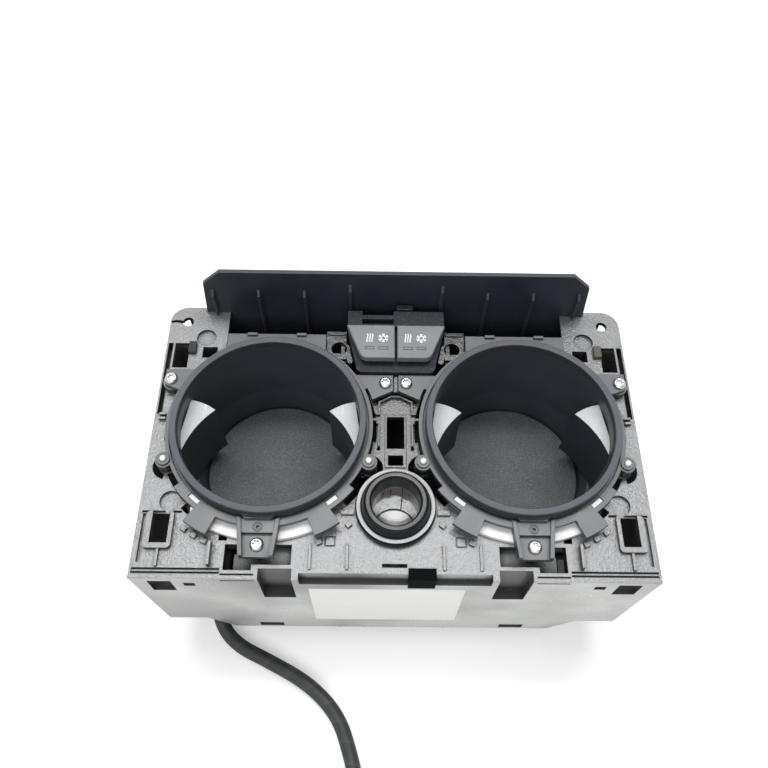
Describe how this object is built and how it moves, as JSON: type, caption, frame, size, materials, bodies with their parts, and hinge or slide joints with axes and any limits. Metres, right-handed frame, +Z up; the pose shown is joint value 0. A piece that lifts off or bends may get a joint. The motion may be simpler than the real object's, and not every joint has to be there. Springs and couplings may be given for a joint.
{
  "type": "car cup holder",
  "caption": "Heated and cooled cup holder for a car console: round cups with sprung grip flaps, push buttons and a power socket in a moulded carrier with a rear panel and cable.",
  "frame": {"origin": "on the table under the middle of the carrier", "axes": "+X to the right seen from the front, +Y to the rear panel, +Z up"},
  "size_m": [0.23, 0.2613, 0.128],
  "materials": {
    "frame_plastic": "grainy satin, glass-filled",
    "cup_plastic": "satin",
    "pad_rubber": "matt, fine grain",
    "flap_plastic": "satin",
    "panel_plastic": "matt",
    "switch_plastic": "matt",
    "button_plastic": "soft-touch",
    "socket_plastic": "glossy",
    "steel": "bright zinc",
    "nylon": "natural white",
    "black_plastic": "matt",
    "label_paper": "matt, blank",
    "felt_grey": "felt",
    "felt_brown": "felt",
    "foam_white": "soft white insulation",
    "ceramic": "ceramic plates",
    "aluminium": "extruded",
    "board_green": "solder mask",
    "housing_plastic": "matt",
    "cable_tape": "woven cable tape",
    "connector_plastic": "matt",
    "grommet_rubber": "matt"
  },
  "bodies": {
    "carrier": {"cable": "cable_tape", "cable_connector": "connector_plastic", "cable_grommet": "grommet_rubber", "carrier_frame": "frame_plastic", "control_board": "board_green", "cup_screws": "steel", "flap_pins": "steel", "flap_springs": "steel", "front_clip": "black_plastic", "front_label": "label_paper", "housing_screws": "steel", "left_cup": "cup_plastic", "left_fan_frame": "black_plastic", "left_felt_pad": "felt_grey", "left_floor_pad": "pad_rubber", "left_heat_sink": "aluminium", "left_insulation": "foam_white", "left_thermo_module": "ceramic", "locating_pins": "nylon", "lower_housing": "housing_plastic", "panel_screws": "steel", "rear_panel": "panel_plastic", "right_cup": "cup_plastic", "right_fan_frame": "black_plastic", "right_felt_pad": "felt_brown", "right_floor_pad": "pad_rubber", "right_heat_sink": "aluminium", "right_insulation": "foam_white", "right_thermo_module": "ceramic", "socket_barrel": "steel", "socket_collar": "socket_plastic", "socket_contact": "nylon", "switch_board": "board_green", "switch_housing": "switch_plastic"},
    "left_button": {"left_button": "button_plastic"},
    "right_button": {"right_button": "button_plastic"},
    "left_outer_flap": {"left_outer_flap": "flap_plastic"},
    "left_inner_flap": {"left_inner_flap": "flap_plastic"},
    "right_inner_flap": {"right_inner_flap": "flap_plastic"},
    "right_outer_flap": {"right_outer_flap": "flap_plastic"},
    "left_fan_wheel": {"left_fan_wheel": "black_plastic"},
    "right_fan_wheel": {"right_fan_wheel": "black_plastic"}
  },
  "joints": [
    {"name": "left_button_press", "type": "slide", "parent": "carrier", "child": "left_button", "axis": [0, 0, -1], "range_m": [0, 0.001], "stiffness_N_per_m": 600, "springref_m": -0.0005},
    {"name": "right_button_press", "type": "slide", "parent": "carrier", "child": "right_button", "axis": [0, 0, -1], "range_m": [0, 0.001], "stiffness_N_per_m": 600, "springref_m": -0.0005},
    {"name": "right_outer_flap_hinge", "type": "hinge", "parent": "carrier", "child": "right_outer_flap", "pos_m": [0.10247, -0.01086, 0.0775], "axis": [0, 0, -1], "range_deg": [0, 16], "stiffness_Nm_per_rad": 0.02, "springref_deg": -17.19},
    {"name": "right_inner_flap_hinge", "type": "hinge", "parent": "carrier", "child": "right_inner_flap", "pos_m": [0.01533, -0.01086, 0.0775], "axis": [0, 0, 1], "range_deg": [0, 16], "stiffness_Nm_per_rad": 0.02, "springref_deg": -17.19},
    {"name": "left_outer_flap_hinge", "type": "hinge", "parent": "carrier", "child": "left_outer_flap", "pos_m": [-0.10247, -0.01086, 0.0775], "axis": [0, 0, 1], "range_deg": [0, 16], "stiffness_Nm_per_rad": 0.02, "springref_deg": -17.19},
    {"name": "left_inner_flap_hinge", "type": "hinge", "parent": "carrier", "child": "left_inner_flap", "pos_m": [-0.01533, -0.01086, 0.0775], "axis": [0, 0, -1], "range_deg": [0, 16], "stiffness_Nm_per_rad": 0.02, "springref_deg": -17.19},
    {"name": "left_fan_spin", "type": "hinge", "parent": "carrier", "child": "left_fan_wheel", "pos_m": [-0.0589, 0, 0.012], "axis": [0, 0, 1], "continuous": true},
    {"name": "right_fan_spin", "type": "hinge", "parent": "carrier", "child": "right_fan_wheel", "pos_m": [0.0589, 0, 0.012], "axis": [0, 0, 1], "continuous": true}
  ]
}
